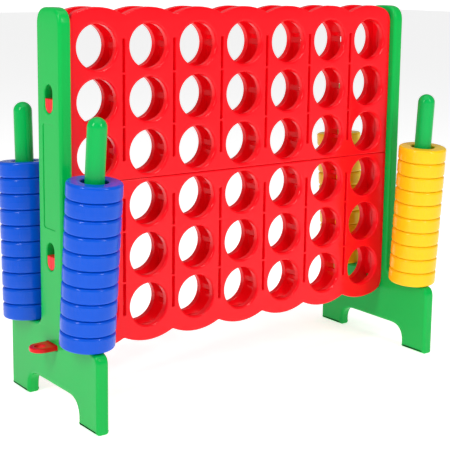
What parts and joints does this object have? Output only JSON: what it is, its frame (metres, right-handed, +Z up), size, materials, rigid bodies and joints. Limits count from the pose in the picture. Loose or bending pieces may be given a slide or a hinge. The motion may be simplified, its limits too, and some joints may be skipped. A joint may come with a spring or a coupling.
{
  "type": "giant four in a row",
  "caption": "Free-standing lawn game: a red grid of round windows between two green side frames, with ring stacks on tilted posts and a pull-out release slider.",
  "frame": {"origin": "on the ground, centred under the board between the two side frames, which is also half way between the feet", "axes": "+X along the board towards the yellow rings, -Y towards the players at the front, +Z up"},
  "size_m": [1.2955, 0.52, 1.053],
  "materials": {
    "green_frame": "moulded polyethylene, soft gloss",
    "red_board": "moulded polyethylene, gloss",
    "green_post": "moulded polyethylene, soft gloss",
    "red_slider": "moulded polyethylene, gloss",
    "blue_ring": "moulded polyethylene, gloss",
    "yellow_ring": "moulded polyethylene, gloss"
  },
  "bodies": {
    "stand": {"side_frame_left": "green_frame", "side_frame_right": "green_frame", "upper_panel_front": "red_board", "upper_panel_rear": "red_board", "lower_panel_front": "red_board", "lower_panel_rear": "red_board", "ring_post_front_left": "green_post", "ring_post_rear_left": "green_post", "ring_post_front_right": "green_post", "ring_post_rear_right": "green_post"},
    "release_slider": {"release_slider": "red_slider"},
    "blue_ring_front_01": {"blue_ring_front_01": "blue_ring"},
    "blue_ring_front_02": {"blue_ring_front_02": "blue_ring"},
    "blue_ring_front_03": {"blue_ring_front_03": "blue_ring"},
    "blue_ring_front_04": {"blue_ring_front_04": "blue_ring"},
    "blue_ring_front_05": {"blue_ring_front_05": "blue_ring"},
    "blue_ring_front_06": {"blue_ring_front_06": "blue_ring"},
    "blue_ring_front_07": {"blue_ring_front_07": "blue_ring"},
    "blue_ring_front_08": {"blue_ring_front_08": "blue_ring"},
    "blue_ring_front_09": {"blue_ring_front_09": "blue_ring"},
    "blue_ring_front_10": {"blue_ring_front_10": "blue_ring"},
    "blue_ring_rear_01": {"blue_ring_rear_01": "blue_ring"},
    "blue_ring_rear_02": {"blue_ring_rear_02": "blue_ring"},
    "blue_ring_rear_03": {"blue_ring_rear_03": "blue_ring"},
    "blue_ring_rear_04": {"blue_ring_rear_04": "blue_ring"},
    "blue_ring_rear_05": {"blue_ring_rear_05": "blue_ring"},
    "blue_ring_rear_06": {"blue_ring_rear_06": "blue_ring"},
    "blue_ring_rear_07": {"blue_ring_rear_07": "blue_ring"},
    "blue_ring_rear_08": {"blue_ring_rear_08": "blue_ring"},
    "blue_ring_rear_09": {"blue_ring_rear_09": "blue_ring"},
    "blue_ring_rear_10": {"blue_ring_rear_10": "blue_ring"},
    "yellow_ring_front_01": {"yellow_ring_front_01": "yellow_ring"},
    "yellow_ring_front_02": {"yellow_ring_front_02": "yellow_ring"},
    "yellow_ring_front_03": {"yellow_ring_front_03": "yellow_ring"},
    "yellow_ring_front_04": {"yellow_ring_front_04": "yellow_ring"},
    "yellow_ring_front_05": {"yellow_ring_front_05": "yellow_ring"},
    "yellow_ring_front_06": {"yellow_ring_front_06": "yellow_ring"},
    "yellow_ring_front_07": {"yellow_ring_front_07": "yellow_ring"},
    "yellow_ring_front_08": {"yellow_ring_front_08": "yellow_ring"},
    "yellow_ring_front_09": {"yellow_ring_front_09": "yellow_ring"},
    "yellow_ring_front_10": {"yellow_ring_front_10": "yellow_ring"},
    "yellow_ring_rear_01": {"yellow_ring_rear_01": "yellow_ring"},
    "yellow_ring_rear_02": {"yellow_ring_rear_02": "yellow_ring"},
    "yellow_ring_rear_03": {"yellow_ring_rear_03": "yellow_ring"},
    "yellow_ring_rear_04": {"yellow_ring_rear_04": "yellow_ring"},
    "yellow_ring_rear_05": {"yellow_ring_rear_05": "yellow_ring"},
    "yellow_ring_rear_06": {"yellow_ring_rear_06": "yellow_ring"},
    "yellow_ring_rear_07": {"yellow_ring_rear_07": "yellow_ring"},
    "yellow_ring_rear_08": {"yellow_ring_rear_08": "yellow_ring"},
    "yellow_ring_rear_09": {"yellow_ring_rear_09": "yellow_ring"},
    "yellow_ring_rear_10": {"yellow_ring_rear_10": "yellow_ring"}
  },
  "joints": [
    {"name": "release_slide", "type": "slide", "parent": "stand", "child": "release_slider", "axis": [-1, 0, 0], "range_m": [0, 0.0785]},
    {"name": "lift_blue_ring_front_01", "type": "slide", "parent": "stand", "child": "blue_ring_front_01", "axis": [0.0174, -0.0732, 0.9972], "range_m": [0, 0.5933]},
    {"name": "lift_blue_ring_front_02", "type": "slide", "parent": "blue_ring_front_01", "child": "blue_ring_front_02", "axis": [0.0174, -0.0732, 0.9972], "range_m": [0, 0.5508]},
    {"name": "lift_blue_ring_front_03", "type": "slide", "parent": "blue_ring_front_02", "child": "blue_ring_front_03", "axis": [0.0174, -0.0732, 0.9972], "range_m": [0, 0.5083]},
    {"name": "lift_blue_ring_front_04", "type": "slide", "parent": "blue_ring_front_03", "child": "blue_ring_front_04", "axis": [0.0174, -0.0732, 0.9972], "range_m": [0, 0.4658]},
    {"name": "lift_blue_ring_front_05", "type": "slide", "parent": "blue_ring_front_04", "child": "blue_ring_front_05", "axis": [0.0174, -0.0732, 0.9972], "range_m": [0, 0.4233]},
    {"name": "lift_blue_ring_front_06", "type": "slide", "parent": "blue_ring_front_05", "child": "blue_ring_front_06", "axis": [0.0174, -0.0732, 0.9972], "range_m": [0, 0.3808]},
    {"name": "lift_blue_ring_front_07", "type": "slide", "parent": "blue_ring_front_06", "child": "blue_ring_front_07", "axis": [0.0174, -0.0732, 0.9972], "range_m": [0, 0.3383]},
    {"name": "lift_blue_ring_front_08", "type": "slide", "parent": "blue_ring_front_07", "child": "blue_ring_front_08", "axis": [0.0174, -0.0732, 0.9972], "range_m": [0, 0.2958]},
    {"name": "lift_blue_ring_front_09", "type": "slide", "parent": "blue_ring_front_08", "child": "blue_ring_front_09", "axis": [0.0174, -0.0732, 0.9972], "range_m": [0, 0.2533]},
    {"name": "lift_blue_ring_front_10", "type": "slide", "parent": "blue_ring_front_09", "child": "blue_ring_front_10", "axis": [0.0174, -0.0732, 0.9972], "range_m": [0, 0.2108]},
    {"name": "lift_blue_ring_rear_01", "type": "slide", "parent": "stand", "child": "blue_ring_rear_01", "axis": [0.0174, 0.0732, 0.9972], "range_m": [0, 0.5933]},
    {"name": "lift_blue_ring_rear_02", "type": "slide", "parent": "blue_ring_rear_01", "child": "blue_ring_rear_02", "axis": [0.0174, 0.0732, 0.9972], "range_m": [0, 0.5508]},
    {"name": "lift_blue_ring_rear_03", "type": "slide", "parent": "blue_ring_rear_02", "child": "blue_ring_rear_03", "axis": [0.0174, 0.0732, 0.9972], "range_m": [0, 0.5083]},
    {"name": "lift_blue_ring_rear_04", "type": "slide", "parent": "blue_ring_rear_03", "child": "blue_ring_rear_04", "axis": [0.0174, 0.0732, 0.9972], "range_m": [0, 0.4658]},
    {"name": "lift_blue_ring_rear_05", "type": "slide", "parent": "blue_ring_rear_04", "child": "blue_ring_rear_05", "axis": [0.0174, 0.0732, 0.9972], "range_m": [0, 0.4233]},
    {"name": "lift_blue_ring_rear_06", "type": "slide", "parent": "blue_ring_rear_05", "child": "blue_ring_rear_06", "axis": [0.0174, 0.0732, 0.9972], "range_m": [0, 0.3808]},
    {"name": "lift_blue_ring_rear_07", "type": "slide", "parent": "blue_ring_rear_06", "child": "blue_ring_rear_07", "axis": [0.0174, 0.0732, 0.9972], "range_m": [0, 0.3383]},
    {"name": "lift_blue_ring_rear_08", "type": "slide", "parent": "blue_ring_rear_07", "child": "blue_ring_rear_08", "axis": [0.0174, 0.0732, 0.9972], "range_m": [0, 0.2958]},
    {"name": "lift_blue_ring_rear_09", "type": "slide", "parent": "blue_ring_rear_08", "child": "blue_ring_rear_09", "axis": [0.0174, 0.0732, 0.9972], "range_m": [0, 0.2533]},
    {"name": "lift_blue_ring_rear_10", "type": "slide", "parent": "blue_ring_rear_09", "child": "blue_ring_rear_10", "axis": [0.0174, 0.0732, 0.9972], "range_m": [0, 0.2108]},
    {"name": "lift_yellow_ring_front_01", "type": "slide", "parent": "stand", "child": "yellow_ring_front_01", "axis": [-0.0174, -0.0732, 0.9972], "range_m": [0, 0.5933]},
    {"name": "lift_yellow_ring_front_02", "type": "slide", "parent": "yellow_ring_front_01", "child": "yellow_ring_front_02", "axis": [-0.0174, -0.0732, 0.9972], "range_m": [0, 0.5508]},
    {"name": "lift_yellow_ring_front_03", "type": "slide", "parent": "yellow_ring_front_02", "child": "yellow_ring_front_03", "axis": [-0.0174, -0.0732, 0.9972], "range_m": [0, 0.5083]},
    {"name": "lift_yellow_ring_front_04", "type": "slide", "parent": "yellow_ring_front_03", "child": "yellow_ring_front_04", "axis": [-0.0174, -0.0732, 0.9972], "range_m": [0, 0.4658]},
    {"name": "lift_yellow_ring_front_05", "type": "slide", "parent": "yellow_ring_front_04", "child": "yellow_ring_front_05", "axis": [-0.0174, -0.0732, 0.9972], "range_m": [0, 0.4233]},
    {"name": "lift_yellow_ring_front_06", "type": "slide", "parent": "yellow_ring_front_05", "child": "yellow_ring_front_06", "axis": [-0.0174, -0.0732, 0.9972], "range_m": [0, 0.3808]},
    {"name": "lift_yellow_ring_front_07", "type": "slide", "parent": "yellow_ring_front_06", "child": "yellow_ring_front_07", "axis": [-0.0174, -0.0732, 0.9972], "range_m": [0, 0.3383]},
    {"name": "lift_yellow_ring_front_08", "type": "slide", "parent": "yellow_ring_front_07", "child": "yellow_ring_front_08", "axis": [-0.0174, -0.0732, 0.9972], "range_m": [0, 0.2958]},
    {"name": "lift_yellow_ring_front_09", "type": "slide", "parent": "yellow_ring_front_08", "child": "yellow_ring_front_09", "axis": [-0.0174, -0.0732, 0.9972], "range_m": [0, 0.2533]},
    {"name": "lift_yellow_ring_front_10", "type": "slide", "parent": "yellow_ring_front_09", "child": "yellow_ring_front_10", "axis": [-0.0174, -0.0732, 0.9972], "range_m": [0, 0.2108]},
    {"name": "lift_yellow_ring_rear_01", "type": "slide", "parent": "stand", "child": "yellow_ring_rear_01", "axis": [-0.0174, 0.0732, 0.9972], "range_m": [0, 0.5933]},
    {"name": "lift_yellow_ring_rear_02", "type": "slide", "parent": "yellow_ring_rear_01", "child": "yellow_ring_rear_02", "axis": [-0.0174, 0.0732, 0.9972], "range_m": [0, 0.5508]},
    {"name": "lift_yellow_ring_rear_03", "type": "slide", "parent": "yellow_ring_rear_02", "child": "yellow_ring_rear_03", "axis": [-0.0174, 0.0732, 0.9972], "range_m": [0, 0.5083]},
    {"name": "lift_yellow_ring_rear_04", "type": "slide", "parent": "yellow_ring_rear_03", "child": "yellow_ring_rear_04", "axis": [-0.0174, 0.0732, 0.9972], "range_m": [0, 0.4658]},
    {"name": "lift_yellow_ring_rear_05", "type": "slide", "parent": "yellow_ring_rear_04", "child": "yellow_ring_rear_05", "axis": [-0.0174, 0.0732, 0.9972], "range_m": [0, 0.4233]},
    {"name": "lift_yellow_ring_rear_06", "type": "slide", "parent": "yellow_ring_rear_05", "child": "yellow_ring_rear_06", "axis": [-0.0174, 0.0732, 0.9972], "range_m": [0, 0.3808]},
    {"name": "lift_yellow_ring_rear_07", "type": "slide", "parent": "yellow_ring_rear_06", "child": "yellow_ring_rear_07", "axis": [-0.0174, 0.0732, 0.9972], "range_m": [0, 0.3383]},
    {"name": "lift_yellow_ring_rear_08", "type": "slide", "parent": "yellow_ring_rear_07", "child": "yellow_ring_rear_08", "axis": [-0.0174, 0.0732, 0.9972], "range_m": [0, 0.2958]},
    {"name": "lift_yellow_ring_rear_09", "type": "slide", "parent": "yellow_ring_rear_08", "child": "yellow_ring_rear_09", "axis": [-0.0174, 0.0732, 0.9972], "range_m": [0, 0.2533]},
    {"name": "lift_yellow_ring_rear_10", "type": "slide", "parent": "yellow_ring_rear_09", "child": "yellow_ring_rear_10", "axis": [-0.0174, 0.0732, 0.9972], "range_m": [0, 0.2108]}
  ]
}
